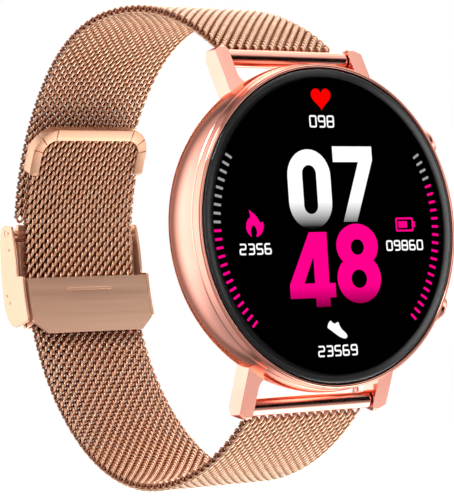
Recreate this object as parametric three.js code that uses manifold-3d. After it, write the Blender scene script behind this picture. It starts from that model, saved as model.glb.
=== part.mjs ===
// Round smartwatch on a closed sliding-clasp mesh strap.
//
// Watch frame, in millimetres: +X towards 3 o'clock, +Z towards 12 o'clock, +Y from the face
// towards the wrist, with y = 0 at the rim of the front glass. The finished group is moved so that
// its origin lies at the centre of the wrist opening.

import * as THREE from 'three';
import { mergeVertices } from 'three/addons/utils/BufferGeometryUtils.js';
import Module from 'manifold-3d';

const wasm = await Module();
wasm.setup();

// ---------------------------------------------------------------- driving dimensions
const WRIST_CENTRE_Y = 36;

const CASE_RADIUS = 21.95;
const CASE_WIDEST_Y = 3.2;
const CASE_BULGE = 0.055;
const CASE_FRONT_Y = 1.25;
const CASE_REAR_Y = 8.5;
const CAVITY_RADIUS = 19.9;
const LEDGE_RADIUS = 16.6;
const LEDGE_FRONT_Y = 6.5;
const LEDGE_REAR_Y = 7.6;
const BACK_RECESS_RADIUS = 19.6;

const GLASS_RADIUS = 20.95;
const GLASS_FLAT_RADIUS = 18.6;
const GLASS_FRONT_Y = -0.7;
const GLASS_REAR_Y = 0.35;

const LUG_INNER_X = 10.15;
const LUG_OUTER_X = 12.45;
const LUG_TIP_Z = 24.93;
const LUG_SLOPE = 0.465;
const LUG_DEPTH = 2.85;
const LUG_TIP_FRONT_Y = 6.4;

const TUBE_Y = 7.6;
const TUBE_Z = 23.2;
const TUBE_RADIUS = 1.2;
const TUBE_BORE = 0.85;
const TUBE_HALF = 10.0;
const BAR_RADIUS = 0.7;
const BAR_TIP_RADIUS = 0.45;
const LUG_HOLE_RADIUS = 0.52;
const LUG_HOLE_END_X = 11.75;
const RELEASE_TRAVEL = 1.5;
const LEVER_X = 8.3;

const BUTTON_ANGLE = THREE.MathUtils.degToRad(30);
const BUTTON_Y = 4.05;
const BUTTON_RADIUS = 2.5;
const BUTTON_OUTER = 23.7;
const BUTTON_INNER = 21.75;
const BUTTON_POCKET = 21.2;
const BUTTON_STEM_RADIUS = 0.8;
const BUTTON_BORE = 1.25;
const BUTTON_STEM_END = 17.45;

// The strap loop is made of arcs that meet tangentially. The back arcs of both straps and the clasp
// share one centre, so the clasp slides along the long strap by turning about it.
const MESH_THICKNESS = 1.4;
const MESH_HALF_WIDTH = 9.8;
const BACK_CENTRE_Y = 27;
const BACK_CENTRE_Z = -0.5;
const SHORT_STRAP_RADIUS = 37.7;
const LONG_STRAP_RADIUS = 35.0;
const FLEX_GAP = 0.6;
const TAIL_END_ANGLE = THREE.MathUtils.degToRad(34.0);

const COVER_RADIUS = 38.95;
const SHEET = 0.5;
const COVER_PIN_RADIUS = 37.4;
const COVER_PIN_ANGLE = THREE.MathUtils.degToRad(8.4);
const BASE_FLOOR_RADIUS = 36.35;
const BASE_WALL_RADIUS = 33.4;
const FLAP_RADIUS = 33.25;
const FLAP_PIN_RADIUS = 33.85;
const FLAP_PIN_SIZE = 0.3;
const FLAP_PIN_ANGLE = THREE.MathUtils.degToRad(-3.6);

const ROUND = 72;
const SMALL_ROUND = 20;

// ---------------------------------------------------------------- materials
const metal = (color, roughness = 0.25) => ({ color, roughness, metalness: 1 });
const plain = (color, roughness = 0.6) => ({ color, roughness, metalness: 0 });
const ROSE = metal(0xe6a796, 0.18);
const ROSE_EDGE = metal(0xd98c78, 0.2);
const MESH_METAL = metal(0xc98f6e, 0.35);
const CLASP_METAL = metal(0xe6bd9c, 0.28);
const STEEL = metal(0xb8bbc0, 0.3);

// ---------------------------------------------------------------- boolean helpers
function toManifold(geometry) {
  const bare = geometry.index ? geometry.toNonIndexed() : geometry.clone();
  for (const name of Object.keys(bare.attributes)) {
    if (name !== 'position') bare.deleteAttribute(name);
  }
  const merged = mergeVertices(bare, 1e-4);
  return new wasm.Manifold(new wasm.Mesh({
    numProp: 3,
    vertProperties: new Float32Array(merged.attributes.position.array),
    triVerts: new Uint32Array(merged.index.array),
  }));
}

function fromManifold(solid) {
  const { vertProperties, triVerts } = solid.getMesh();
  const geometry = new THREE.BufferGeometry();
  geometry.setAttribute('position', new THREE.BufferAttribute(new Float32Array(vertProperties), 3));
  geometry.setIndex(new THREE.BufferAttribute(new Uint32Array(triVerts), 1));
  geometry.computeVertexNormals();
  return geometry;
}

function combine(first, { add = [], subtract = [], intersect = [] }) {
  let solid = toManifold(first);
  for (const geometry of intersect) solid = solid.intersect(toManifold(geometry));
  for (const geometry of add) solid = solid.add(toManifold(geometry));
  for (const geometry of subtract) solid = solid.subtract(toManifold(geometry));
  return fromManifold(solid);
}

// ---------------------------------------------------------------- shape helpers
// A closed profile of [radius, y] points turned about the watch's Y axis.
function turned(points, segments = ROUND) {
  const profile = points.map(([r, y]) => new THREE.Vector2(r, y));
  if (THREE.ShapeUtils.isClockWise(profile)) profile.reverse();
  profile.push(profile[0].clone());
  return new THREE.LatheGeometry(profile, segments);
}

// A closed profile of [x, radius] points turned about an axis parallel to X through (y, z).
function turnedAlongX(points, y, z, segments = SMALL_ROUND) {
  const geometry = turned(points.map(([x, r]) => [r, -x]), segments);
  return geometry.rotateZ(Math.PI / 2).translate(0, y, z);
}

// A shape in the (y, z) side view, extruded along X from x0 to x1.
function sideSolid(shape, x0, x1, curveSegments = 12) {
  const settings = { depth: x1 - x0, bevelEnabled: false, curveSegments };
  const geometry = new THREE.ExtrudeGeometry(shape, settings);
  const turn = new THREE.Matrix4().makeBasis(
    new THREE.Vector3(0, 1, 0), new THREE.Vector3(0, 0, 1), new THREE.Vector3(1, 0, 0));
  return geometry.applyMatrix4(turn).translate(x0, 0, 0);
}

// A shape in the (x, z) front view, extruded along Y from y0 to y1.
function frontSolid(shape, y0, y1, curveSegments = 8) {
  const settings = { depth: y1 - y0, bevelEnabled: false, curveSegments };
  const geometry = new THREE.ExtrudeGeometry(shape, settings);
  return geometry.rotateX(Math.PI / 2).translate(0, y1, 0);
}

function polygon(points) {
  return new THREE.Shape(points.map(([u, v]) => new THREE.Vector2(u, v)));
}

function roundedRectangle(u0, v0, u1, v1, radius) {
  const shape = new THREE.Shape();
  shape.moveTo(u0 + radius, v0);
  shape.lineTo(u1 - radius, v0);
  shape.absarc(u1 - radius, v0 + radius, radius, -Math.PI / 2, 0);
  shape.lineTo(u1, v1 - radius);
  shape.absarc(u1 - radius, v1 - radius, radius, 0, Math.PI / 2);
  shape.lineTo(u0 + radius, v1);
  shape.absarc(u0 + radius, v1 - radius, radius, Math.PI / 2, Math.PI);
  shape.lineTo(u0, v0 + radius);
  shape.absarc(u0 + radius, v0 + radius, radius, Math.PI, Math.PI * 1.5);
  return shape;
}

function block(x, y, z, width, depth, height) {
  return new THREE.BoxGeometry(width, depth, height).translate(x, y, z);
}

// A round bar along Y.
function post(radius, x, z, y0, y1, segments = SMALL_ROUND) {
  return new THREE.CylinderGeometry(radius, radius, y1 - y0, segments).translate(x, (y0 + y1) / 2, z);
}

// A point at a radius and angle from the shared centre of the back arcs, as [y, z].
function backPoint(radius, angle) {
  return [BACK_CENTRE_Y + radius * Math.cos(angle), BACK_CENTRE_Z + radius * Math.sin(angle)];
}

// A band of the back arc between two radii and two angles.
function backBand(inner, outer, from, to) {
  const shape = new THREE.Shape();
  shape.absarc(BACK_CENTRE_Y, BACK_CENTRE_Z, outer, from, to, false);
  shape.absarc(BACK_CENTRE_Y, BACK_CENTRE_Z, inner, to, from, true);
  return shape;
}

// ---------------------------------------------------------------- assembly
const watch = new THREE.Group();
const assembly = new THREE.Group();
assembly.position.y = -WRIST_CENTRE_Y;
watch.add(assembly);

function piece(name, geometry, finish, parent = assembly) {
  const mesh = new THREE.Mesh(geometry, new THREE.MeshStandardMaterial(finish));
  mesh.name = name;
  parent.add(mesh);
  return mesh;
}

// ---------------------------------------------------------------- case
function sideRadiusAt(y) {
  return CASE_RADIUS - CASE_BULGE * (y - CASE_WIDEST_Y) ** 2;
}

function caseShell() {
  const side = [];
  const steps = 8;
  for (let i = 0; i <= steps; i += 1) {
    const y = CASE_FRONT_Y + (CASE_REAR_Y - 0.5 - CASE_FRONT_Y) * i / steps;
    side.push([sideRadiusAt(y), y]);
  }
  return turned([
    [CAVITY_RADIUS, CASE_FRONT_Y],
    ...side,
    [sideRadiusAt(CASE_REAR_Y) - 0.6, CASE_REAR_Y],
    [BACK_RECESS_RADIUS, CASE_REAR_Y],
    [BACK_RECESS_RADIUS, LEDGE_REAR_Y],
    [LEDGE_RADIUS, LEDGE_REAR_Y],
    [LEDGE_RADIUS, LEDGE_FRONT_Y],
    [CAVITY_RADIUS, LEDGE_FRONT_Y],
  ]);
}

// One lug: its side view and its front view, intersected. sx and sz are +1 or -1.
function lug(sx, sz) {
  const frontAt = (z) => LUG_TIP_FRONT_Y - LUG_SLOPE * (LUG_TIP_Z - 0.8 - z);
  const root = 17.2;
  const shoulder = 22.6;
  const side = new THREE.Shape();
  side.moveTo(frontAt(root), sz * root);
  side.lineTo(frontAt(LUG_TIP_Z - 0.3), sz * (LUG_TIP_Z - 0.3));
  side.lineTo(frontAt(LUG_TIP_Z) + 0.5, sz * LUG_TIP_Z);
  side.quadraticCurveTo(
    frontAt(shoulder) + LUG_DEPTH + 0.25, sz * (LUG_TIP_Z - 0.4),
    frontAt(shoulder) + LUG_DEPTH, sz * shoulder);
  side.lineTo(frontAt(root) + LUG_DEPTH, sz * root);
  const front = new THREE.Shape();
  front.moveTo(sx * LUG_OUTER_X, sz * root);
  front.lineTo(sx * LUG_OUTER_X, sz * (LUG_TIP_Z - 0.8));
  front.lineTo(sx * (LUG_INNER_X + 0.6), sz * LUG_TIP_Z);
  front.lineTo(sx * LUG_INNER_X, sz * (LUG_TIP_Z - 0.6));
  front.lineTo(sx * LUG_INNER_X, sz * 20.9);
  front.quadraticCurveTo(sx * LUG_INNER_X, sz * 19.7, sx * (LUG_INNER_X - 1.6), sz * 19.3);
  front.lineTo(sx * (LUG_INNER_X - 1.6), sz * root);
  const x0 = Math.min(sx * (LUG_INNER_X - 3), sx * (LUG_OUTER_X + 1));
  const sideView = sideSolid(side, x0, x0 + LUG_OUTER_X - LUG_INNER_X + 4, 5);
  return combine(sideView, { intersect: [frontSolid(front, 0, 12, 5)] });
}

function lugHole(sx, sz) {
  const radius = LUG_HOLE_RADIUS;
  const ends = [sx * 9.5, sx * LUG_HOLE_END_X].sort((a, b) => a - b);
  return turnedAlongX([[ends[0], 0], [ends[0], radius], [ends[1], radius], [ends[1], 0]],
    TUBE_Y, sz * TUBE_Z, 16);
}

// A round bar pointing outwards along a button's axis, from one radius of the case to another.
function buttonBar(side, radius, from, to, segments = 24) {
  const bar = new THREE.CylinderGeometry(radius, radius, to - from, segments);
  return bar.rotateZ(-Math.PI / 2).translate((from + to) / 2, BUTTON_Y, 0)
    .rotateY(-side * BUTTON_ANGLE);
}

const SCREW_RING = 17.9;
const screwAngles = [45, 135, 225, 315].map(THREE.MathUtils.degToRad);
const screwPlaces = screwAngles.map((a) => [SCREW_RING * Math.cos(a), SCREW_RING * Math.sin(a)]);

const corners = [[1, 1], [-1, 1], [1, -1], [-1, -1]];
const caseCore = combine(turned([[0, CASE_FRONT_Y], [CAVITY_RADIUS, CASE_FRONT_Y],
  [CAVITY_RADIUS, LEDGE_FRONT_Y], [0, LEDGE_FRONT_Y]]), {});
const caseBody = combine(caseShell(), {
  add: corners.map(([sx, sz]) => combine(lug(sx, sz), { subtract: [caseCore] })),
  subtract: [
    ...corners.map(([sx, sz]) => lugHole(sx, sz)),
    ...[1, -1].flatMap((side) => [
      buttonBar(side, BUTTON_BORE, 18, 23),
      buttonBar(side, BUTTON_RADIUS + 0.2, BUTTON_POCKET, 25, 32),
    ]),
    ...screwPlaces.map(([x, z]) => post(0.6, x, z, 6, 9, 12)),
    turned([[0, LEDGE_FRONT_Y - 1], [LEDGE_RADIUS, LEDGE_FRONT_Y - 1],
      [LEDGE_RADIUS, CASE_REAR_Y + 1], [0, CASE_REAR_Y + 1]]),
    turned([[LEDGE_RADIUS - 2, LEDGE_REAR_Y], [BACK_RECESS_RADIUS, LEDGE_REAR_Y],
      [BACK_RECESS_RADIUS, CASE_REAR_Y + 1], [LEDGE_RADIUS - 2, CASE_REAR_Y + 1]]),
  ],
});
piece('case_body', caseBody, ROSE);

const bezelFoot = sideRadiusAt(CASE_FRONT_Y);
piece('bezel_ring', turned([
  [21.05, -0.05], [21.2, -0.2], [21.42, -0.12], [21.5, 0.02], [21.56, 0.0],
  [bezelFoot, CASE_FRONT_Y - 0.2], [bezelFoot - 0.05, CASE_FRONT_Y - 0.05],
  [21.05, CASE_FRONT_Y - 0.05],
]), ROSE_EDGE);

function frontGlass() {
  const dome = [];
  const steps = 6;
  for (let i = 0; i <= steps; i += 1) {
    const turn = (Math.PI / 2) * i / steps;
    dome.push([GLASS_FLAT_RADIUS + (GLASS_RADIUS - GLASS_FLAT_RADIUS) * Math.sin(turn),
      GLASS_FRONT_Y * Math.cos(turn)]);
  }
  return turned([...dome, [GLASS_RADIUS, GLASS_REAR_Y], [0, GLASS_REAR_Y], [0, GLASS_FRONT_Y]]);
}
piece('front_glass', frontGlass(), { color: 0x050506, roughness: 0.04, metalness: 0 });
piece('glass_gasket', turned([[19.95, 0.4], [20.9, 0.4], [20.9, 1.2], [19.95, 1.2]]), plain(0x1a1a1c));
piece('display_panel', turned([[0, 0.4], [19.8, 0.4], [19.8, 1.3], [0, 1.3]], 48), plain(0x0b0b10));

// ---------------------------------------------------------------- electronics in the case
const displayFrame = combine(turned([[0, 1.5], [19.6, 1.5], [19.6, 2.1], [0, 2.1]], 48), {
  subtract: [block(0, 1.8, -14.5, 12, 2, 2.4)],
});
piece('display_frame', displayFrame, plain(0x26272b));
piece('display_cable', block(0, 3.3, -14.5, 9, 3.6, 0.3), plain(0xb8791f, 0.4));
piece('battery', frontSolid(roundedRectangle(-14.5, -10, 2.5, 10, 1.4), 2.4, 5.2), plain(0x8f9296, 0.4));
const boardOutline = new THREE.Shape();
boardOutline.absarc(0, 0, 16.2, 0, Math.PI * 2);
const boardNotch = new THREE.Path();
boardNotch.absarc(0, -11.6, 1.6, 0, Math.PI * 2, true);
boardOutline.holes.push(boardNotch);
piece('main_board', frontSolid(boardOutline, 5.4, 6.2, 20), plain(0x0f5c3a, 0.5));
piece('processor_can', block(8, 4.75, 1.5, 8.5, 1.1, 8.5), STEEL);
piece('wireless_chip', block(7.5, 4.95, -6.8, 4.5, 0.7, 4.5), plain(0x17181a, 0.4));
piece('vibration_motor', post(4, 7.5, 10.2, 2.4, 5.0, 28), STEEL);

piece('sensor_board', post(5.6, 0, 0, 6.7, 7.4, 32), plain(0x10331f, 0.5));
piece('green_led_left', block(-2.6, 7.75, 0, 1.6, 0.6, 1.6), plain(0x39d353, 0.3));
piece('green_led_right', block(2.6, 7.75, 0, 1.6, 0.6, 1.6), plain(0x39d353, 0.3));
piece('photodiode', block(0, 7.75, 0, 2.2, 0.6, 2.6), plain(0x20242c, 0.3));

// ---------------------------------------------------------------- back of the case
const CONTACT_X = 3;
const CONTACT_Z = -11.6;
const backCover = combine(turned([
  [6.5, 7.65], [19.0, 7.65], [19.0, 8.1], [19.5, 8.1], [19.5, 8.6], [19.1, 8.85],
  [15.5, 9.1], [10.5, 9.75], [7.4, 9.95], [6.5, 9.95],
]), {
  subtract: [
    ...screwPlaces.flatMap(([x, z]) => [post(0.6, x, z, 7, 10, 12), post(1.3, x, z, 8.2, 10, 20)]),
    ...[-CONTACT_X, CONTACT_X].map((x) => post(1.0, x, CONTACT_Z, 7, 11, 20)),
  ],
});
piece('back_cover', backCover, plain(0x1b1b1e, 0.35));
piece('back_gasket', turned([[19.08, 7.68], [19.52, 7.68], [19.52, 8.05], [19.08, 8.05]], 48),
  plain(0x111113, 0.8));
piece('sensor_window', turned([
  [0, 8.6], [6.4, 8.6], [6.4, 9.95], [5.9, 10.3], [5.2, 10.45], [0, 10.45],
], 40), { color: 0x141418, roughness: 0.06, metalness: 0 });

screwPlaces.forEach(([x, z], index) => {
  const screw = turned([[0, 6.6], [0.5, 6.6], [0.5, 8.25], [1.15, 8.25], [1.15, 8.75], [0, 8.75]], 14);
  piece(`back_screw_${index + 1}`, screw.translate(x, 0, z), STEEL);
});
[['left', -CONTACT_X], ['right', CONTACT_X]].forEach(([side, x]) => {
  const contact = turned([[0, 6.3], [0.6, 6.3], [0.6, 7.3], [0.9, 7.3], [0.9, 9.75], [0, 9.75]], 16);
  piece(`charging_contact_${side}`, contact.translate(x, 0, CONTACT_Z), metal(0xd9b25f, 0.2));
});

// ---------------------------------------------------------------- push buttons
function ringOnButtonAxis(side, inner, outer, from, to) {
  const ring = turned([[inner, from], [outer, from], [outer, to], [inner, to]], 20);
  return ring.rotateZ(-Math.PI / 2).translate(0, BUTTON_Y, 0).rotateY(-side * BUTTON_ANGLE);
}

for (const [name, side] of [['upper', 1], ['lower', -1]]) {
  const stem = [
    [0, BUTTON_STEM_END], [BUTTON_STEM_RADIUS, BUTTON_STEM_END], [BUTTON_STEM_RADIUS, BUTTON_INNER],
  ];
  const head = [
    [BUTTON_RADIUS, BUTTON_INNER], [BUTTON_RADIUS, BUTTON_OUTER - 0.45],
    [BUTTON_RADIUS - 0.3, BUTTON_OUTER - 0.1], [BUTTON_RADIUS - 0.7, BUTTON_OUTER],
    [0, BUTTON_OUTER],
  ];
  const button = turned([...stem, ...head], 28)
    .rotateZ(-Math.PI / 2).translate(0, BUTTON_Y, 0).rotateY(-side * BUTTON_ANGLE);
  piece(`${name}_button`, button, ROSE);
  piece(`${name}_button_seal`, ringOnButtonAxis(side, 0.84, 1.2, 20.2, 20.6), plain(0x111113, 0.8));
  piece(`${name}_button_clip`, ringOnButtonAxis(side, 0.84, 1.5, 19.35, 19.7), STEEL);
  const tactSwitch = block(16.2, BUTTON_Y, 0, 1.5, 2.2, 3.4).rotateY(-side * BUTTON_ANGLE);
  piece(`${name}_button_switch`, tactSwitch, plain(0x303236, 0.4));
}

// ---------------------------------------------------------------- strap tubes and spring bars
function strapTube(sz) {
  const tube = turnedAlongX([
    [-TUBE_HALF, TUBE_BORE], [-TUBE_HALF, TUBE_RADIUS - 0.15], [-TUBE_HALF + 0.15, TUBE_RADIUS],
    [TUBE_HALF - 0.15, TUBE_RADIUS], [TUBE_HALF, TUBE_RADIUS - 0.15], [TUBE_HALF, TUBE_BORE],
  ], TUBE_Y, sz * TUBE_Z, 28);
  const slotCentre = LEVER_X - RELEASE_TRAVEL / 2;
  const slot = block(slotCentre, TUBE_Y, sz * (TUBE_Z - 1.2), RELEASE_TRAVEL + 1.3, 1.1, 1.6);
  return combine(tube, { subtract: [slot] });
}

function springBar(sz) {
  return turnedAlongX([
    [-11.6, 0], [-11.6, BAR_TIP_RADIUS - 0.1], [-11.5, BAR_TIP_RADIUS], [-9.95, BAR_TIP_RADIUS],
    [-9.95, BAR_RADIUS], [3.9, BAR_RADIUS], [3.9, 0],
  ], TUBE_Y, sz * TUBE_Z, 16);
}

function releasePin(sz) {
  const pin = turnedAlongX([
    [7.4, 0], [7.4, BAR_RADIUS], [9.95, BAR_RADIUS], [9.95, BAR_TIP_RADIUS], [11.4, BAR_TIP_RADIUS],
    [11.5, BAR_TIP_RADIUS - 0.1], [11.5, 0],
  ], TUBE_Y, sz * TUBE_Z, 16);
  const leverLength = TUBE_RADIUS + 0.75;
  const lever = new THREE.CylinderGeometry(0.42, 0.42, leverLength, 12).rotateX(Math.PI / 2)
    .translate(LEVER_X, TUBE_Y, sz * (TUBE_Z - leverLength / 2));
  return combine(pin, { add: [lever] });
}

// The relaxed half of the bar's inner spring, as far as the pin's travel leaves room for it.
function barSpring(sz) {
  const turns = 4;
  const length = 1.3;
  const points = [];
  for (let i = 0; i <= turns * 8; i += 1) {
    const angle = i * Math.PI / 4;
    points.push(new THREE.Vector3(4.15 + length * i / (turns * 8),
      TUBE_Y + 0.42 * Math.cos(angle), sz * TUBE_Z + 0.42 * Math.sin(angle)));
  }
  const wire = new THREE.Shape();
  wire.absarc(0, 0, 0.1, 0, Math.PI * 2);
  return new THREE.ExtrudeGeometry(wire, {
    steps: turns * 8, curveSegments: 5, bevelEnabled: false,
    extrudePath: new THREE.CatmullRomCurve3(points),
  });
}

for (const [name, sz] of [['upper', 1], ['lower', -1]]) {
  piece(`${name}_strap_tube`, strapTube(sz), ROSE);
  piece(`${name}_spring_bar`, springBar(sz), STEEL);
  piece(`${name}_bar_spring`, barSpring(sz), STEEL);
  piece(`${name}_release_pin`, releasePin(sz), STEEL);
}

// ---------------------------------------------------------------- mesh straps
// Each strap is three arcs: the back arc, a tighter corner arc and a flatter front arc that runs
// through the middle of its strap tube. side is +1 for the upper strap, -1 for the lower one.
// Angles are measured from +Y, towards +Z for the upper strap and -Z for the lower one.
function strapRoute(side, backRadius, cornerRadius, cornerFrom, cornerTo) {
  const backZ = side * BACK_CENTRE_Z;
  const corner = [
    BACK_CENTRE_Y + (backRadius - cornerRadius) * Math.cos(cornerFrom),
    backZ + (backRadius - cornerRadius) * Math.sin(cornerFrom),
  ];
  const towards = [Math.cos(cornerTo), Math.sin(cornerTo)];
  const toTube = [TUBE_Y - corner[0], TUBE_Z - corner[1]];
  const along = toTube[0] * towards[0] + toTube[1] * towards[1];
  const distance = toTube[0] ** 2 + toTube[1] ** 2;
  const frontRadius = (distance - 2 * cornerRadius * along + cornerRadius ** 2)
    / (2 * (cornerRadius - along));
  const front = [
    corner[0] + (cornerRadius - frontRadius) * towards[0],
    corner[1] + (cornerRadius - frontRadius) * towards[1],
  ];
  const tubeAngle = Math.atan2(TUBE_Z - front[1], TUBE_Y - front[0]);
  return { side, backZ, backRadius, corner, cornerRadius, cornerFrom, cornerTo, front, frontRadius,
    tubeAngle };
}

const degrees = THREE.MathUtils.degToRad;
const shortRoute = strapRoute(1, SHORT_STRAP_RADIUS, 25.1, degrees(46.7), degrees(86.8));
const longRoute = strapRoute(-1, LONG_STRAP_RADIUS, 26.7, degrees(49.5), degrees(92.3));

function mirroredArc(shape, side, centre, radius, from, to) {
  shape.absarc(centre[0], side * centre[1], radius, side * from, side * to, side * (to - from) < 0);
}

// The flat run from the strap tube to the bend joint.
function frontMesh(route) {
  const { side, front, frontRadius, cornerTo, tubeAngle } = route;
  const half = MESH_THICKNESS / 2;
  const from = cornerTo + FLEX_GAP / 2 / frontRadius;
  const to = tubeAngle - (TUBE_RADIUS + 0.12) / frontRadius;
  const shape = new THREE.Shape();
  mirroredArc(shape, side, front, frontRadius + half, from, to);
  mirroredArc(shape, side, front, frontRadius - half, to, from);
  return sideSolid(shape, -MESH_HALF_WIDTH, MESH_HALF_WIDTH, 14);
}

// The corner and back run, from the bend joint to an angle on the back arc.
function backMesh(route, endAngle) {
  const { side, backZ, backRadius, corner, cornerRadius, cornerFrom, cornerTo } = route;
  const half = MESH_THICKNESS / 2;
  const from = cornerTo - FLEX_GAP / 2 / cornerRadius;
  const back = [BACK_CENTRE_Y, backZ];
  const shape = new THREE.Shape();
  mirroredArc(shape, side, corner, cornerRadius + half, from, cornerFrom);
  mirroredArc(shape, side, back, backRadius + half, cornerFrom, endAngle);
  mirroredArc(shape, side, back, backRadius - half, endAngle, cornerFrom);
  mirroredArc(shape, side, corner, cornerRadius - half, cornerFrom, from);
  return sideSolid(shape, -MESH_HALF_WIDTH, MESH_HALF_WIDTH, 14);
}

// Front-view outline of the tail's rounded end, at a distance inside the trim's outer edge.
function tailOutline(inset, bottomZ) {
  const half = 10.1 - inset;
  const top = 20.1 - inset;
  const radius = 3.6 - inset;
  const shape = new THREE.Shape();
  shape.moveTo(-half, bottomZ);
  shape.lineTo(half, bottomZ);
  shape.lineTo(half, top - radius);
  shape.absarc(half - radius, top - radius, radius, 0, Math.PI / 2);
  shape.lineTo(-half + radius, top);
  shape.absarc(-half + radius, top - radius, radius, Math.PI / 2, Math.PI);
  return shape;
}

const shortEndAngle = COVER_PIN_ANGLE + 1.5 / SHORT_STRAP_RADIUS;
piece('short_mesh_front', frontMesh(shortRoute), MESH_METAL);
piece('short_mesh_back', backMesh(shortRoute, shortEndAngle), MESH_METAL);
piece('long_mesh_front', frontMesh(longRoute), MESH_METAL);
const TRIM_FOOT_Z = 13.5;
const TRIM_GRIP = 0.55;
const tailMesh = combine(backMesh(longRoute, -TAIL_END_ANGLE), {
  subtract: [combine(frontSolid(roundedRectangle(-12, TRIM_FOOT_Z - 0.2, 12, 24, 0.5), 40, 70), {
    subtract: [frontSolid(tailOutline(TRIM_GRIP + 0.1, 0), 39, 71)],
  })],
});
piece('long_mesh_back', tailMesh, MESH_METAL);

// ---------------------------------------------------------------- end trim of the tail
function endTrim() {
  const legBar = 1.3;
  const outer = tailOutline(0, TRIM_FOOT_Z);
  const band = sideSolid(backBand(34.05, 35.95, degrees(18), degrees(38)), -11, 11, 16);
  const gripBand = sideSolid(backBand(34.22, 35.78, degrees(15), degrees(40)), -11, 11, 16);
  return combine(frontSolid(outer, 45, 66), {
    intersect: [band],
    subtract: [
      frontSolid(tailOutline(legBar, TRIM_FOOT_Z - 1), 44, 67),
      combine(gripBand, { intersect: [frontSolid(tailOutline(TRIM_GRIP, TRIM_FOOT_Z - 1), 44, 67)] }),
    ],
  });
}
piece('end_trim', endTrim(), CLASP_METAL);

// ---------------------------------------------------------------- clasp
const [coverPinY, coverPinZ] = backPoint(COVER_PIN_RADIUS, COVER_PIN_ANGLE);
const [flapPinY, flapPinZ] = backPoint(FLAP_PIN_RADIUS, FLAP_PIN_ANGLE);
const BASE_INNER_X = 9.95;
const BASE_OUTER_X = 10.35;
const FLAP_EAR_X = 10.45;
const FLAP_EAR_OUTER_X = 10.85;
const COVER_INNER_X = 10.95;
const COVER_OUTER_X = 11.4;

function alongX(radius, y, z, x0, x1, segments = 16) {
  return turnedAlongX([[x0, 0], [x0, radius], [x1, radius], [x1, 0]], y, z, segments);
}

// The knuckle that ends the short strap and turns on the cover pin.
function strapKnuckle() {
  const barrel = alongX(0.75, coverPinY, coverPinZ, -9.6, 9.6, 20);
  const plate = sideSolid(backBand(36.75, 37.3, COVER_PIN_ANGLE, shortEndAngle - 0.004), -9.6, 9.6, 3);
  return combine(barrel, {
    add: [plate],
    subtract: [alongX(0.46, coverPinY, coverPinZ, -12, 12)],
  });
}
piece('short_strap_knuckle', strapKnuckle(), CLASP_METAL);
piece('cover_pin', alongX(0.4, coverPinY, coverPinZ, -11.35, 11.35), CLASP_METAL);

// Side wall of the cover, in the side view: round outer corners, deeper beside the lock flap.
function coverWall() {
  const top = degrees(10.2);
  const step = degrees(-2.2);
  const bottom = degrees(-13.9);
  const rim = COVER_RADIUS + 0.06;
  const shape = new THREE.Shape();
  shape.moveTo(...backPoint(34.8, top));
  shape.lineTo(...backPoint(37.4, top));
  shape.quadraticCurveTo(...backPoint(rim, top), ...backPoint(rim, top - degrees(2.6)));
  shape.absarc(BACK_CENTRE_Y, BACK_CENTRE_Z, rim, top - degrees(2.6), degrees(-7.5), true);
  shape.quadraticCurveTo(...backPoint(rim - 0.1, bottom + degrees(0.4)), ...backPoint(36.2, bottom));
  shape.lineTo(...backPoint(33.2, bottom));
  shape.lineTo(...backPoint(33.0, bottom + degrees(0.4)));
  shape.absarc(BACK_CENTRE_Y, BACK_CENTRE_Z, 33.0, bottom + degrees(0.4), step, false);
  shape.lineTo(...backPoint(34.6, step + degrees(0.3)));
  shape.absarc(BACK_CENTRE_Y, BACK_CENTRE_Z, 34.6, step + degrees(0.3), top - degrees(0.6), false);
  return shape;
}

// The cover's outer skin in section: it follows the wrist and turns in at its free end.
function coverSkin() {
  const top = COVER_PIN_ANGLE - degrees(1);
  const bend = degrees(-6.5);
  const inner = COVER_RADIUS - SHEET;
  const shape = new THREE.Shape();
  shape.moveTo(...backPoint(inner, top));
  shape.lineTo(...backPoint(COVER_RADIUS, top));
  shape.absarc(BACK_CENTRE_Y, BACK_CENTRE_Z, COVER_RADIUS, top, bend, true);
  shape.quadraticCurveTo(...backPoint(COVER_RADIUS - 0.4, degrees(-12.3)), ...backPoint(37.3, degrees(-13.5)));
  shape.lineTo(...backPoint(36.9, degrees(-13.1)));
  shape.quadraticCurveTo(...backPoint(inner - 0.4, degrees(-12)), ...backPoint(inner, bend));
  shape.absarc(BACK_CENTRE_Y, BACK_CENTRE_Z, inner, bend, top, false);
  return shape;
}

function claspCover() {
  const skin = sideSolid(coverSkin(), -COVER_INNER_X - 0.2, COVER_INNER_X + 0.2, 10);
  const walls = [[-COVER_OUTER_X, -COVER_INNER_X], [COVER_INNER_X, COVER_OUTER_X]]
    .map(([x0, x1]) => sideSolid(coverWall(), x0, x1, 10));
  return combine(skin, { add: walls, subtract: [alongX(0.46, coverPinY, coverPinZ, -12, 12)] });
}
piece('clasp_cover', claspCover(), CLASP_METAL);

// The slider base: a channel round the long strap, with walls on both sides.
function claspBase() {
  const from = degrees(-14.5);
  const to = degrees(6.4);
  const floor = sideSolid(backBand(BASE_FLOOR_RADIUS - 0.4, BASE_FLOOR_RADIUS, from, to),
    -BASE_OUTER_X, BASE_OUTER_X, 10);
  const wall = [[-BASE_OUTER_X, -BASE_INNER_X], [BASE_INNER_X, BASE_OUTER_X]].flatMap(([x0, x1]) => [
    sideSolid(backBand(34.4, BASE_FLOOR_RADIUS, from, to), x0, x1, 10),
    sideSolid(backBand(BASE_WALL_RADIUS, 34.6, from, FLAP_PIN_ANGLE), x0, x1, 8),
    alongX(FLAP_PIN_SIZE + 0.22, flapPinY, flapPinZ, x0, x1),
  ]);
  return combine(floor, {
    add: wall,
    subtract: [alongX(FLAP_PIN_SIZE + 0.04, flapPinY, flapPinZ, -12, 12)],
  });
}
piece('clasp_base', claspBase(), CLASP_METAL);
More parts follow.
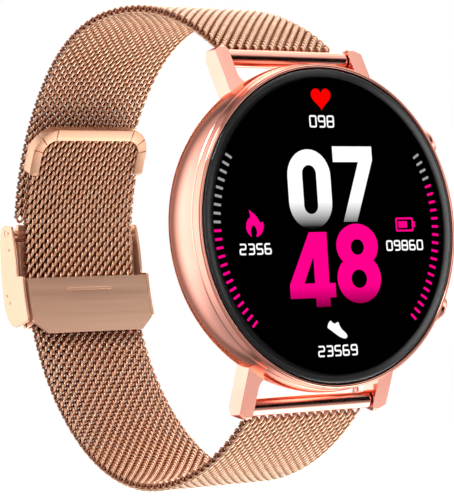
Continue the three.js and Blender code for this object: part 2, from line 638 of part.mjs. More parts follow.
piece('flap_pin', alongX(FLAP_PIN_SIZE, flapPinY, flapPinZ, -10.8, 10.8), CLASP_METAL);

// The lock flap: a curved plate with cut corners, a raised bar and two ears on the flap pin.
function lockFlap() {
  const top = -2.1;
  const bottom = -10.5;
  const outline = polygon([
    [-10.85, top], [10.85, top], [10.85, -8.6], [8.4, bottom], [-8.4, bottom], [-10.85, -8.6],
  ]);
  const plate = sideSolid(backBand(FLAP_RADIUS - SHEET, FLAP_RADIUS, degrees(-20), 0), -11, 11, 12);
  const ears = [[-FLAP_EAR_OUTER_X, -FLAP_EAR_X], [FLAP_EAR_X, FLAP_EAR_OUTER_X]]
    .map(([x0, x1]) => sideSolid(backBand(FLAP_RADIUS - 0.2, 34.4, degrees(-12.6), degrees(-2.8)), x0, x1, 6));
  const raisedBar = frontSolid(roundedRectangle(-3.9, -4.15, 3.9, -3.65, 0.24), 59.25, 59.8, 4);
  const plateTrimmed = combine(frontSolid(outline, 50, 70), { intersect: [plate] });
  return combine(plateTrimmed, {
    add: [...ears, raisedBar],
    subtract: [alongX(FLAP_PIN_SIZE + 0.06, flapPinY, flapPinZ, -12, 12)],
  });
}
piece('lock_flap', lockFlap(), CLASP_METAL);

export default watch;
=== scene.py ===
import math

import bmesh
import bpy
import numpy as np
from mathutils import Matrix, Vector


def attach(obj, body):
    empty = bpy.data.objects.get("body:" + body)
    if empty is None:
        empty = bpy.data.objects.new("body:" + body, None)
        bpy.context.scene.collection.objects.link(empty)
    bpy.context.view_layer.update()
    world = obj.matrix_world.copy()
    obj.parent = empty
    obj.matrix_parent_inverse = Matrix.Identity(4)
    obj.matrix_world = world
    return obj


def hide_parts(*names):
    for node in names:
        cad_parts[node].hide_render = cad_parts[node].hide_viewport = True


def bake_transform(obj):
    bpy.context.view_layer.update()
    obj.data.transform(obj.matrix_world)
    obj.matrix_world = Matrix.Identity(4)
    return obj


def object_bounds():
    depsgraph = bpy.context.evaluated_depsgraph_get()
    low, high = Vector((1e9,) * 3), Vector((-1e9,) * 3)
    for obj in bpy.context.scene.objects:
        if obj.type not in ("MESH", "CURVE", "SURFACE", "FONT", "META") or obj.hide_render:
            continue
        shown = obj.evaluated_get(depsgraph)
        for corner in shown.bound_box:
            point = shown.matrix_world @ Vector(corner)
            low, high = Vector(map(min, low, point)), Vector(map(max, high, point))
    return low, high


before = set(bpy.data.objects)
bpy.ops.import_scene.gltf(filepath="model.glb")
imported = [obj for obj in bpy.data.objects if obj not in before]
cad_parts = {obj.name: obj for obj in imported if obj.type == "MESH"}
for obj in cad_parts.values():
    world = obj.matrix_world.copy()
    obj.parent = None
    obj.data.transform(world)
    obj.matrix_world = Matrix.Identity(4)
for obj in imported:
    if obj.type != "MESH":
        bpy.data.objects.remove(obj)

cad_box = [list(corner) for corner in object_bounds()]

# All sizes below are in millimetres in the watch's own coordinates: x towards the buttons, z towards
# 12 o'clock and y from the front rim of the glass into the wrist. The row's origin is the middle of
# the wrist opening, 36 mm behind the rim.
MM = 0.001
WRIST_Y = 36.0

CASE_RADIUS = 21.95
CASE_WIDEST_Y = 3.2
CASE_BULGE = 0.055
CASE_FRONT_Y = 1.25
CASE_REAR_Y = 8.5
GLASS_FLAT_RADIUS = 18.6
GLASS_RADIUS = 20.95

LUG_INNER_X = 10.15
LUG_OUTER_X = 12.45
LUG_TIP_Z = 24.93
LUG_SLOPE = 0.465
LUG_DEPTH = 2.85
LUG_TIP_FRONT_Y = 6.4

TUBE_Y = 7.6
TUBE_Z = 23.2
TUBE_RADIUS = 1.2
TUBE_BORE = 0.85
TUBE_HALF_LENGTH = 10.0
LEVER_X = 8.3
LEVER_TRAVEL = 1.5

BUTTON_ANGLE = math.radians(30)
BUTTON_Y = 4.05
BUTTON_RADIUS = 2.5
BUTTON_OUTER = 23.7
BUTTON_INNER = 21.75

BACK_Y = 27.0
BACK_Z = -0.5
SHORT_RADIUS = 37.7
LONG_RADIUS = 35.0
COVER_RADIUS = 38.95
SHEET = 0.5
COVER_PIN_RADIUS = 37.4
COVER_PIN_ANGLE = math.radians(8.4)
FLAP_PIN_RADIUS = 33.85
FLAP_PIN_ANGLE = math.radians(-3.6)
FLAP_RADIUS = 33.25
BASE_FLOOR_RADIUS = 36.35
BASE_WALL_RADIUS = 33.4

# how far up the wire's tone the rods inside the coils lie, from 0 (dark, painted shade) to 1
ROD_CROWN = 0.3


def rad(degrees):
    return math.radians(degrees)


def to_row(points):
    """Watch millimetres to row metres."""
    moved = np.array(points, float).reshape(-1, 3)
    return (moved - (0, WRIST_Y, 0)) * MM


# ------------ mesh helpers
def linked(name, data):
    """A new object in the scene."""
    thing = bpy.data.objects.new(name, data)
    bpy.context.scene.collection.objects.link(thing)
    return thing


def new_object(name, verts, faces, smooth_angle=32.0):
    mesh = bpy.data.meshes.new(name)
    mesh.from_pydata([tuple(v) for v in to_row(verts)], [], [tuple(f) for f in faces])
    mesh.validate()
    thing = linked(name, mesh)
    tidy_normals(thing, smooth_angle)
    return thing


def tidy_normals(thing, smooth_angle=32.0):
    """Faces point outwards, and edges sharper than the angle stay crisp."""
    work = bmesh.new()
    work.from_mesh(thing.data)
    bmesh.ops.recalc_face_normals(work, faces=work.faces)
    work.to_mesh(thing.data)
    work.free()
    thing.data.shade_smooth()
    thing.data.set_sharp_from_angle(angle=rad(smooth_angle))


def apply_modifiers(thing):
    """Replaces the mesh by what its modifiers make of it."""
    seen = thing.evaluated_get(bpy.context.evaluated_depsgraph_get())
    made = bpy.data.meshes.new_from_object(seen)
    thing.modifiers.clear()
    old = thing.data
    thing.data = made
    bpy.data.meshes.remove(old)
    return thing


def boolean(thing, other, operation):
    step = thing.modifiers.new("cut", "BOOLEAN")
    step.operation = operation
    step.solver = "EXACT"
    step.object = other
    apply_modifiers(thing)
    bpy.data.objects.remove(other)
    return thing


def bevelled(thing, width, segments=3, angle=35.0):
    step = thing.modifiers.new("bevel", "BEVEL")
    step.width = width * MM
    step.segments = segments
    step.limit_method = "ANGLE"
    step.angle_limit = rad(angle)
    step.harden_normals = False
    return apply_modifiers(thing)


def flat_shading(thing):
    """Large faces keep their own shading; only the small faces between them blend."""
    step = thing.modifiers.new("normals", "WEIGHTED_NORMAL")
    step.keep_sharp = True
    step.weight = 80
    return apply_modifiers(thing)


def ring_faces(rings, around):
    """Quads between each ring of `around` points and the next."""
    faces = []
    for i in range(rings - 1):
        a, b = i * around, (i + 1) * around
        for j in range(around):
            k = (j + 1) % around
            faces.append((a + j, a + k, b + k, b + j))
    return faces


def lathe(name, profile, base=(0, 0, 0), axis="y", turn=0.0, segments=192):
    """A profile of (radius, height) pairs turned round an axis through base. Radius 0 closes an end."""
    verts, rows = [], []
    for radius, height in profile:
        if radius == 0:
            rows.append([len(verts)])
            verts.append((0, height, 0))
            continue
        rows.append(list(range(len(verts), len(verts) + segments)))
        for j in range(segments):
            a = 2 * math.pi * j / segments
            verts.append((radius * math.cos(a), height, radius * math.sin(a)))
    faces = []
    for first, second in zip(rows, rows[1:] + rows[:1]):
        if len(first) == 1 and len(second) == 1:
            continue
        for j in range(segments):
            k = (j + 1) % segments
            if len(first) == 1:
                faces.append((first[0], second[k], second[j]))
            elif len(second) == 1:
                faces.append((first[j], first[k], second[0]))
            else:
                faces.append((first[j], first[k], second[k], second[j]))
    turned = np.array(verts, float)
    if axis == "x":
        turned = turned[:, (1, 0, 2)] * (1, 1, -1)
    spin = np.array(Matrix.Rotation(turn, 3, "Y"))
    turned = turned @ spin.T + base
    return new_object(name, turned, faces)


def bore(thing, radius, low, high, base, axis="x", turn=0.0, segments=32):
    """Cuts a round hole along an axis through base, from low to high on it."""
    profile = [(0, low), (radius, low), (radius, high), (0, high)]
    boolean(thing, lathe("hole", profile, base, axis, turn, segments), "DIFFERENCE")


def prism(name, outline, low, high, along="x"):
    """An outline swept along x (outline in y, z) or along y (outline in x, z)."""
    count = len(outline)
    verts = []
    for level in (low, high):
        for u, v in outline:
            verts.append((level, u, v) if along == "x" else (u, level, v))
    faces = [tuple(range(count)), tuple(range(2 * count - 1, count - 1, -1))]
    for i in range(count):
        k = (i + 1) % count
        faces.append((i, k, count + k, count + i))
    return new_object(name, verts, faces)


def arc(centre, radius, start, end, steps):
    angles = np.linspace(start, end, steps + 1)
    return [(centre[0] + radius * math.cos(a), centre[1] + radius * math.sin(a)) for a in angles]


def curve_to(start, control, end, steps=8):
    """Points of a quadratic curve after its start."""
    t = np.linspace(0, 1, steps + 1)[1:, None]
    s, c, e = (np.array(p, float) for p in (start, control, end))
    return [tuple(p) for p in (1 - t) ** 2 * s + 2 * t * (1 - t) * c + t * t * e]


def rounded(corners, radius, steps=5, closed=True):
    """A polygon or open line with each corner rounded."""
    points = [np.array(p, float) for p in corners]
    out = []
    for i, here in enumerate(points):
        if not closed and i in (0, len(points) - 1):
            out.append(tuple(here))
            continue
        before, after = points[i - 1], points[(i + 1) % len(points)]
        back, ahead = before - here, after - here
        cut = min(radius, np.linalg.norm(back) / 2, np.linalg.norm(ahead) / 2)
        start = here + back / np.linalg.norm(back) * cut
        end = here + ahead / np.linalg.norm(ahead) * cut
        out.append(tuple(start))
        out.extend(curve_to(start, here, end, steps))
    return out


def rounded_box(left, bottom, right, top, radius, steps=5):
    return rounded([(left, bottom), (right, bottom), (right, top), (left, top)], radius, steps)


def back_point(radius, angle):
    return (BACK_Y + radius * math.cos(angle), BACK_Z + radius * math.sin(angle))


def back_band(inner, outer, start, end, steps=24):
    centre = (BACK_Y, BACK_Z)
    return arc(centre, outer, start, end, steps) + arc(centre, inner, end, start, steps)


# ------------ materials
class Paint:
    """A small wrapper round one material's node tree."""

    def __init__(self, name):
        self.material = bpy.data.materials.new(name)
        self.material.use_nodes = True
        self.tree = self.material.node_tree
        self.shader = self.tree.nodes["Principled BSDF"]
        coordinates = self.tree.nodes.new("ShaderNodeTexCoord")
        self.place = coordinates.outputs["Object"]

    def add(self, kind, settings=None, **inputs):
        node = self.tree.nodes.new("ShaderNode" + kind)
        for key, value in (settings or {}).items():
            setattr(node, key, value)
        for key, value in inputs.items():
            self.put(node.inputs[key.replace("_", " ")], value)
        return node

    def put(self, socket, value):
        if isinstance(value, bpy.types.NodeSocket):
            self.tree.links.new(value, socket)
        else:
            socket.default_value = value

    def set(self, **inputs):
        for key, value in inputs.items():
            self.put(self.shader.inputs[key.replace("_", " ")], value)

    def noise(self, scale, detail=3.0, stretch=(1, 1, 1), roughness=0.55):
        """Noise in row metres: scale is repeats per metre before the stretch."""
        mapping = self.add("Mapping", Vector=self.place, Scale=stretch)
        return self.add("TexNoise", Vector=mapping.outputs["Vector"], Scale=scale, Detail=detail,
                        Roughness=roughness).outputs["Fac"]

    def ramp(self, value, low, high, start=0.3, end=0.7):
        """A number that runs from low to high as value runs from start to end."""
        return self.add("MapRange", Value=value, From_Min=start, From_Max=end, To_Min=low,
                        To_Max=high).outputs["Result"]

    def blend(self, value, first, second, start=0.3, end=0.7):
        """A colour between first and second, led by value."""
        node = self.add("ValToRGB", Fac=value)
        for element, place, colour in zip(node.color_ramp.elements, (start, end), (first, second)):
            element.position = place
            element.color = (*colour, 1)
        return node.outputs["Color"]

    def mix(self, share, first, second):
        """A colour made of two, each given with its alpha or as a node's output."""
        node = self.add("Mix", {"data_type": "RGBA"})
        for key, value in (("Factor", share), (6, first), (7, second)):
            self.put(node.inputs[key], value)
        return node.outputs[2]

    def mix_shaders(self, share, first, second):
        """The material's surface becomes a mix of two shaders."""
        node = self.add("MixShader")
        for socket, value in zip(node.inputs, (share, first, second)):
            self.put(socket, value)
        self.put(self.tree.nodes["Material Output"].inputs["Surface"], node.outputs[0])

    def bump(self, height, distance, strength=1.0):
        node = self.add("Bump", Height=height, Distance=distance, Strength=strength)
        self.put(self.shader.inputs["Normal"], node.outputs["Normal"])


def polished(name, colour, edge, roughness):
    """Plated polished metal: faint colour drift, hairline scratches and slight waviness."""
    paint = Paint(name)
    drift = paint.noise(90, 2)
    hair = paint.noise(700, 4, (1, 1, 9))
    paint.set(Base_Color=paint.blend(drift, colour, edge), Metallic=1.0,
              Roughness=paint.ramp(hair, roughness * 0.7, roughness * 1.4),
              Specular_Tint=(1.0, 0.66, 0.56, 1.0))
    paint.bump(hair, 0.0000015, 0.5)
    return paint.material


def satin(name, colour, edge, roughness, stretch, metallic=1.0):
    """Brushed metal: fine lines along one direction."""
    paint = Paint(name)
    lines = paint.noise(600, 5, stretch, 0.7)
    paint.set(Base_Color=paint.blend(lines, colour, edge), Metallic=metallic,
              Roughness=paint.ramp(lines, roughness * 0.8, roughness * 1.25))
    paint.bump(lines, 0.000006, 0.6)
    return paint.material


def moulded(name, colour, other, roughness, scale=900):
    """Moulded plastic or rubber: fine grain and slight tone changes."""
    paint = Paint(name)
    grain = paint.noise(scale, 4)
    paint.set(Base_Color=paint.blend(grain, colour, other),
              Roughness=paint.ramp(grain, roughness * 0.85, roughness * 1.15))
    paint.bump(grain, 0.00001, 0.4)
    return paint.material


def wire_metal():
    """Plated wire: bright on the strap's faces, with painted shade where the coils cross inside it, the
    colour darkening towards the strap's middle.
    """
    paint = Paint("wire_metal")
    patch = paint.noise(1500, 3)
    fine = paint.noise(6000, 2)
    crown = paint.add("Attribute", {"attribute_name": "crown"}).outputs["Fac"]
    # painted shade: the dark colour takes over as the crown attribute falls towards the strap's middle,
    # where the coils cross
    tone = paint.mix(paint.ramp(crown, 0.0, 1.0, ROD_CROWN, 1.0), (0.36, 0.14, 0.08, 1),
                     paint.blend(patch, (0.80, 0.42, 0.26), (1.0, 0.66, 0.45)))
    paint.set(Base_Color=tone, Metallic=1.0, Roughness=paint.ramp(fine, 0.22, 0.34))
    paint.bump(fine, 0.000003, 0.4)
    return paint.material


def window_glass():
    """Clear glass: its front reflects; its back is bonded to the display and does not."""
    paint = Paint("clear_glass")
    clear = paint.add("BsdfTransparent")
    smear = paint.noise(160, 2)
    gloss = paint.add("BsdfGlossy", Roughness=paint.ramp(smear, 0.015, 0.05))
    glance = paint.add("Fresnel", IOR=1.5)
    depth = paint.add("SeparateXYZ", Vector=paint.place).outputs["Y"]
    front = paint.ramp(depth, 1.0, 0.0, (0.25 - WRIST_Y) * MM, (0.33 - WRIST_Y) * MM)
    share = paint.add("Math", {"operation": "MULTIPLY"})
    paint.put(share.inputs[0], glance.outputs[0])
    paint.put(share.inputs[1], front)
    paint.mix_shaders(share.outputs[0], clear.outputs[0], gloss.outputs[0])
    paint.tree.nodes.remove(paint.shader)
    return paint.material


def lit(name, colour, dark=None, bright_z=0.0, dark_z=0.0):
    """A lit part of the display, fading to dark between two heights in millimetres."""
    paint = Paint(name)
    dots = paint.noise(9000, 1)
    light = paint.blend(dots, tuple(0.94 * c for c in colour), colour, 0.35, 0.65)
    if dark is not None:
        height = paint.add("SeparateXYZ", Vector=paint.place).outputs["Z"]
        light = paint.mix(paint.ramp(height, 0.0, 1.0, dark_z * MM, bright_z * MM), (*dark, 1), light)
    paint.set(Base_Color=(0, 0, 0, 1), Roughness=0.5, Emission_Color=light, Emission_Strength=1.12,
              Specular_IOR_Level=0.0)
    return paint.material


ROSE = polished("rose_polished", (0.92, 0.40, 0.31), (0.95, 0.46, 0.37), 0.13)
ROSE_BEZEL = polished("rose_bezel", (0.88, 0.38, 0.29), (0.92, 0.44, 0.35), 0.12)
CLASP = satin("clasp_satin", (0.93, 0.56, 0.38), (0.97, 0.60, 0.42), 0.4, (0.03, 2, 2), 0.75)
TRIM = satin("trim_satin", (0.74, 0.42, 0.27), (0.80, 0.46, 0.30), 0.38, (0.03, 2, 2), 0.85)
WIRE = wire_metal()
STEEL = satin("plain_steel", (0.55, 0.56, 0.58), (0.72, 0.73, 0.75), 0.3, (1, 0.2, 1))
GLASS = window_glass()
BLACK_PANEL = moulded("panel_black", (0.0005, 0.0005, 0.0006), (0.001, 0.001, 0.0012), 0.6)
BLACK_PANEL.node_tree.nodes["Principled BSDF"].inputs["Specular IOR Level"].default_value = 0.0
BLACK_PLASTIC = moulded("back_plastic", (0.012, 0.012, 0.013), (0.022, 0.022, 0.024), 0.35)
RUBBER = moulded("black_rubber", (0.008, 0.008, 0.008), (0.018, 0.018, 0.018), 0.7)
LENS = moulded("tinted_lens", (0.006, 0.006, 0.009), (0.01, 0.01, 0.014), 0.08)
GOLD = polished("gold_contact", (0.83, 0.60, 0.27), (0.9, 0.68, 0.35), 0.2)
BOARD = moulded("green_board", (0.01, 0.08, 0.035), (0.02, 0.13, 0.06), 0.45, 500)
CHIP = moulded("chip_black", (0.015, 0.015, 0.016), (0.03, 0.03, 0.032), 0.5)
FOIL = moulded("battery_foil", (0.16, 0.165, 0.17), (0.24, 0.245, 0.25), 0.35, 300)
AMBER = moulded("amber_film", (0.45, 0.20, 0.03), (0.55, 0.27, 0.05), 0.35)
LED = moulded("green_led", (0.08, 0.5, 0.12), (0.14, 0.65, 0.2), 0.2)
FRAME_METAL = moulded("frame_metal", (0.3, 0.3, 0.31), (0.42, 0.42, 0.43), 0.4)

CAD_FINISH = {
    RUBBER: ["glass_gasket", "back_gasket", "upper_button_seal", "lower_button_seal"],
    BLACK_PANEL: ["display_panel"],
    FRAME_METAL: ["display_frame"],
    AMBER: ["display_cable"],
    FOIL: ["battery"],
    BOARD: ["main_board", "sensor_board"],
    CHIP: ["wireless_chip", "photodiode", "upper_button_switch", "lower_button_switch"],
    LED: ["green_led_left", "green_led_right"],
    STEEL: ["processor_can", "vibration_motor", "back_screw_1", "back_screw_2", "back_screw_3",
            "back_screw_4", "upper_button_clip", "lower_button_clip", "upper_spring_bar",
            "lower_spring_bar", "upper_bar_spring", "lower_bar_spring"],
    ROSE: ["upper_release_pin", "lower_release_pin"],
    GOLD: ["charging_contact_left", "charging_contact_right"],
    CLASP: ["short_strap_knuckle", "cover_pin", "flap_pin"],
}
for finish, names in CAD_FINISH.items():
    for node_name in names:
        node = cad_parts[node_name]
        node.data.materials.clear()
        node.data.materials.append(finish)


def install(thing, body, material, slot_name, *nodes):
    """Paints a piece, puts it on its body and lets it stand for its CAD nodes."""
    thing.data.materials.clear()
    thing.data.materials.append(material)
    if body:
        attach(thing, body)
    if nodes:
        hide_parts(*nodes)
    return thing


# ------------ case, lugs and bezel
def side_radius(y):
    return CASE_RADIUS - CASE_BULGE * (y - CASE_WIDEST_Y) ** 2


def lug(sx, sz):
    """One lug: the overlap of its side view and its front view, with softened edges."""
    def front_y(z):
        return LUG_TIP_FRONT_Y - LUG_SLOPE * (LUG_TIP_Z - 0.8 - z)

    root, shoulder = 16.6, 22.6
    side = [(front_y(root), root), (front_y(LUG_TIP_Z - 0.3), LUG_TIP_Z - 0.3),
            (front_y(LUG_TIP_Z) + 0.5, LUG_TIP_Z)]
    side += curve_to(side[-1], (front_y(shoulder) + LUG_DEPTH + 0.25, LUG_TIP_Z - 0.4),
                     (front_y(shoulder) + LUG_DEPTH, shoulder))
    side.append((front_y(root) + LUG_DEPTH, root))
    front = [(LUG_OUTER_X, root), (LUG_OUTER_X, LUG_TIP_Z - 0.8), (LUG_INNER_X + 0.6, LUG_TIP_Z),
             (LUG_INNER_X, LUG_TIP_Z - 0.6), (LUG_INNER_X, 20.9)]
    front += curve_to(front[-1], (LUG_INNER_X, 19.7), (LUG_INNER_X - 1.6, 19.3))
    front.append((LUG_INNER_X - 1.6, root))
    solid = prism("lug", [(y, sz * z) for y, z in side], sx * 7, sx * 14)
    view = prism("view", [(sx * x, sz * z) for x, z in front], -1, 13, "y")
    boolean(solid, view, "INTERSECT")
    return bevelled(solid, 0.12, 3)


def case_body():
    side = [(side_radius(y), y) for y in np.linspace(CASE_FRONT_Y + 0.12, CASE_REAR_Y - 0.6, 26)]
    rear = side_radius(CASE_REAR_Y - 0.6)
    shell = lathe("case_metal", [
        (0, CASE_FRONT_Y), (side_radius(CASE_FRONT_Y) - 0.1, CASE_FRONT_Y), *side,
        *curve_to((rear, CASE_REAR_Y - 0.6), (rear - 0.28, CASE_REAR_Y), (rear - 0.75, CASE_REAR_Y), 5),
        (0, CASE_REAR_Y)], segments=240)
    for sx in (1, -1):
        for sz in (1, -1):
            boolean(shell, lug(sx, sz), "UNION")
            bore(shell, 0.52, sx * 9.5, sx * 11.75, (0, TUBE_Y, sz * TUBE_Z), segments=24)
    # room for the display, the ledge behind it and the seat of the back cover
    room, ledge, seat = 19.9, 16.6, 19.6
    cavity = lathe("cavity", [(0, 0), (room, 0), (room, 6.5), (ledge, 6.5), (ledge, 7.6), (seat, 7.6),
                              (seat, 9.5), (0, 9.5)], segments=240)
    boolean(shell, cavity, "DIFFERENCE")
    for way in (1, -1):
        for radius, start, end in ((1.25, 18, 23), (BUTTON_RADIUS + 0.2, 21.2, 25)):
            bore(shell, radius, start, end, (0, BUTTON_Y, 0), "x", -way * BUTTON_ANGLE, 48)
    tidy_normals(shell, 30)
    return flat_shading(shell)


def bezel_ring():
    foot = side_radius(CASE_FRONT_Y)
    bead = arc((21.28, -0.02), 0.2, rad(200), rad(345), 8)
    return lathe("bezel_metal", [
        (21.05, 0.02), *bead, (21.5, 0.03), (21.56, 0.0), (21.6, 0.04),
        *[(21.6 + (foot - 21.6) * t, 0.04 + 1.0 * t) for t in np.linspace(0.1, 1, 7)],
        (foot - 0.06, CASE_FRONT_Y - 0.07), (foot - 0.12, CASE_FRONT_Y - 0.05),
        (21.05, CASE_FRONT_Y - 0.05)], segments=240)


def front_glass():
    dome = [(GLASS_FLAT_RADIUS + (GLASS_RADIUS - GLASS_FLAT_RADIUS) * math.sin(t),
             -0.7 * math.cos(t)) for t in np.linspace(0, math.pi / 2, 20)]
    return lathe("front_glass_dome", [(0, -0.7), *dome, (GLASS_RADIUS, 0.35), (0, 0.35)], segments=240)


install(case_body(), "watch_case", ROSE, "case", "case_body")
install(bezel_ring(), "watch_case", ROSE_BEZEL, "bezel", "bezel_ring")
install(front_glass(), "watch_case", GLASS, "glass", "front_glass")

# ------------ push buttons and strap tubes
for label, way in (("upper", 1), ("lower", -1)):
    rim = BUTTON_RADIUS
    head = [(0, 17.45), (0.8, 17.45), (0.8, BUTTON_INNER), (rim - 0.1, BUTTON_INNER),
            (rim, BUTTON_INNER + 0.1), (rim, BUTTON_OUTER - 0.5)]
    head += curve_to(head[-1], (rim, BUTTON_OUTER), (rim - 0.6, BUTTON_OUTER), 6)
    head += [(rim - 0.75, BUTTON_OUTER - 0.05), (0, BUTTON_OUTER - 0.05)]
    button = lathe(label + "_button_metal", head, (0, BUTTON_Y, 0), "x", -way * BUTTON_ANGLE, 72)
    install(button, label + "_button_body", ROSE, "case", label + "_button")


def strap_tube(label, sz):
    """The tube over the spring bar, with the slot for the release lever."""
    end, slot_x = TUBE_HALF_LENGTH, LEVER_X - LEVER_TRAVEL / 2
    tube = lathe(label + "_tube_metal", [
        (TUBE_BORE, -end), (TUBE_RADIUS - 0.15, -end), (TUBE_RADIUS - 0.04, -end + 0.04),
        (TUBE_RADIUS, -end + 0.15), (TUBE_RADIUS, end - 0.15), (TUBE_RADIUS - 0.04, end - 0.04),
        (TUBE_RADIUS - 0.15, end), (TUBE_BORE, end)], (0, TUBE_Y, sz * TUBE_Z), "x", segments=96)
    outline = rounded_box(slot_x - 1.4, sz * (TUBE_Z - 2), slot_x + 1.4, sz * (TUBE_Z - 0.4), 0.1)
    slot = prism("slot", outline, TUBE_Y - 0.55, TUBE_Y + 0.55, "y")
    boolean(tube, slot, "DIFFERENCE")
    tidy_normals(tube, 30)
    return flat_shading(tube)


install(strap_tube("upper", 1), "short_strap", ROSE, "tube", "upper_strap_tube")
install(strap_tube("lower", -1), "long_strap", ROSE, "tube", "lower_strap_tube")


# ------------ mesh straps
class Route:
    """A strap's middle line in the y, z plane: a chain of arcs that starts at its tube."""

    def __init__(self, side, back_radius, corner_radius, corner_from, corner_to, end_angle):
        centre = np.array([BACK_Y + (back_radius - corner_radius) * math.cos(corner_from),
                           side * BACK_Z + (back_radius - corner_radius) * math.sin(corner_from)])
        towards = np.array([math.cos(corner_to), math.sin(corner_to)])
        to_tube = np.array([TUBE_Y, TUBE_Z]) - centre
        along = to_tube @ towards
        front_radius = ((to_tube @ to_tube - 2 * corner_radius * along + corner_radius ** 2)
                        / (2 * (corner_radius - along)))
        front = centre + (corner_radius - front_radius) * towards
        tube_angle = math.atan2(TUBE_Z - front[1], TUBE_Y - front[0])
        self.side = side
        self.arcs = [(front, front_radius, tube_angle - (TUBE_RADIUS + 0.12) / front_radius, corner_to),
                     (centre, corner_radius, corner_to, corner_from),
                     (np.array([BACK_Y, side * BACK_Z]), back_radius, corner_from, end_angle)]
        lengths = [radius * (start - end) for _, radius, start, end in self.arcs]
        self.stations = np.concatenate([[0], np.cumsum(lengths)])
        self.length = self.stations[-1]

    def place(self, x, along, out):
        """Points at a distance along the strap and out from its middle line."""
        points = np.zeros((len(along), 3))
        points[:, 0] = x
        part = np.clip(np.searchsorted(self.stations, along, side="right") - 1, 0, 2)
        for i, (centre, radius, start, _) in enumerate(self.arcs):
            here = part == i
            angle = start - (along[here] - self.stations[i]) / radius
            points[here, 1] = centre[0] + (radius + out[here]) * np.cos(angle)
            points[here, 2] = self.side * (centre[1] + (radius + out[here]) * np.sin(angle))
        return points


MESH_HALF_WIDTH = 9.92
WIRE_RADIUS = 0.21
COIL_PITCH = 1.36
ROW_PITCH = 0.74
ROD_RADIUS = 0.25
# the long strap's wires are two pieces, split past the strap's bend
TAIL_SPLIT = 0.45
COIL_REACH = 0.8
COIL_HEIGHT = 0.7 - WIRE_RADIUS
TURN_STEPS = 12
WIRE_SIDES = 6


class WireSet:
    """Collects wires, each a tube of quads with closed ends, and the crown value of every point, which sets
    the wire's painted shade.
    """

    def __init__(self):
        self.verts, self.faces, self.crowns, self.count = [], [], [], 0

    def add(self, path, radius, crown):
        count = len(path)
        ahead = np.gradient(path, axis=0)
        ahead /= np.linalg.norm(ahead, axis=1)[:, None]
        # coils run mostly round the x axis, rods along it
        guide = np.array([0, 1.0, 0]) if abs(ahead[0, 0]) > 0.99 else np.array([1.0, 0, 0])
        flat = guide - ahead * (ahead @ guide)[:, None]
        flat /= np.linalg.norm(flat, axis=1)[:, None]
        up = np.cross(ahead, flat)
        size = np.full(count, radius)
        size[[0, -1]] *= 0.6
        for j in range(WIRE_SIDES):
            a = 2 * math.pi * j / WIRE_SIDES
            self.verts.append(path + size[:, None] * (math.cos(a) * flat + math.sin(a) * up))
            self.crowns.append(crown)
        i = np.arange(count - 1)
        for j in range(WIRE_SIDES):
            k = (j + 1) % WIRE_SIDES
            corners = [j * count + i, k * count + i, k * count + i + 1, j * count + i + 1]
            self.faces.append(self.count + np.stack(corners, axis=1))
        ends = self.count + np.arange(WIRE_SIDES) * count
        self.faces.append(np.array([ends[[0, 1, 2, 3]], ends[[0, 3, 4, 5]],
                                    ends[[3, 2, 1, 0]] + count - 1, ends[[5, 4, 3, 0]] + count - 1]))
        self.count += count * WIRE_SIDES

    def build(self, name):
        thing = quads_object(name, np.concatenate(self.verts), np.concatenate(self.faces))
        # the crown attribute carries the painted shade to the wire material
        crown = thing.data.attributes.new("crown", "FLOAT", "POINT")
        crown.data.foreach_set("value", np.concatenate(self.crowns).astype(np.float32))
        return thing


def wire_mesh(name, route, edge_at=None, part=(0, 1)):
    """Flat coils of wire lying across the strap, each hooked into the next, with a rod in each hook.
    edge_at gives the half width available at a distance along the strap; part is the share of the
    rows that is made."""
    wires, seed = WireSet(), np.random.default_rng(7)
    first, last = COIL_REACH + WIRE_RADIUS, route.length - COIL_REACH - WIRE_RADIUS
    rows = int((last - first) / ROW_PITCH)
    for row in range(round(part[0] * (rows + 1)), round(part[1] * (rows + 1))):
        middle = first + (last - first) * row / rows
        half = (edge_at(middle) if edge_at else MESH_HALF_WIDTH) - WIRE_RADIUS
        shift = COIL_PITCH / 2 * (row % 2)
        start = math.ceil((-half - shift) / COIL_PITCH * TURN_STEPS)
        end = math.floor((half - shift) / COIL_PITCH * TURN_STEPS)
        step = np.arange(start, end + 1)
        turn = 2 * math.pi * step / TURN_STEPS
        wobble = 1 + 0.03 * seed.standard_normal()
        height = np.sin(turn)
        path = route.place(shift + COIL_PITCH * step / TURN_STEPS,
                           middle - COIL_REACH * wobble * np.cos(turn),
                           COIL_HEIGHT * height * route.side)
        # the crown is how far the wire stands out of the strap's middle; low crown gets painted shade
        wires.add(path, WIRE_RADIUS, np.abs(height))
        if row < rows:
            across = np.linspace(-half + 0.3, half - 0.3, 4)
            hook = np.full(4, middle + (last - first) / rows / 2)
            # the rods lie deep in the coils and get painted shade through their low crown
            wires.add(route.place(across, hook, np.zeros(4)), ROD_RADIUS, np.full(4, ROD_CROWN))
    return wires.build(name)


def quads_object(name, verts, faces):
    """A smooth mesh from arrays of points and quads."""
    mesh = bpy.data.meshes.new(name)
    mesh.vertices.add(len(verts))
    mesh.vertices.foreach_set("co", to_row(verts).ravel())
    mesh.loops.add(faces.size)
    mesh.loops.foreach_set("vertex_index", faces.ravel().astype(np.int32))
    mesh.polygons.add(len(faces))
    mesh.polygons.foreach_set("loop_start", np.arange(0, faces.size, 4, dtype=np.int32))
    mesh.update(calc_edges=True)
    mesh.validate()
    thing = linked(name, mesh)
    mesh.shade_smooth()
    return thing


short_end = COVER_PIN_ANGLE + 1.5 / SHORT_RADIUS
SHORT_ROUTE = Route(1, SHORT_RADIUS, 25.1, rad(46.7), rad(86.8), short_end)
TAIL_TOP = 19.4
tail_end = -math.asin((TAIL_TOP - BACK_Z) / LONG_RADIUS)
LONG_ROUTE = Route(-1, LONG_RADIUS, 26.7, rad(49.5), rad(92.3), tail_end)


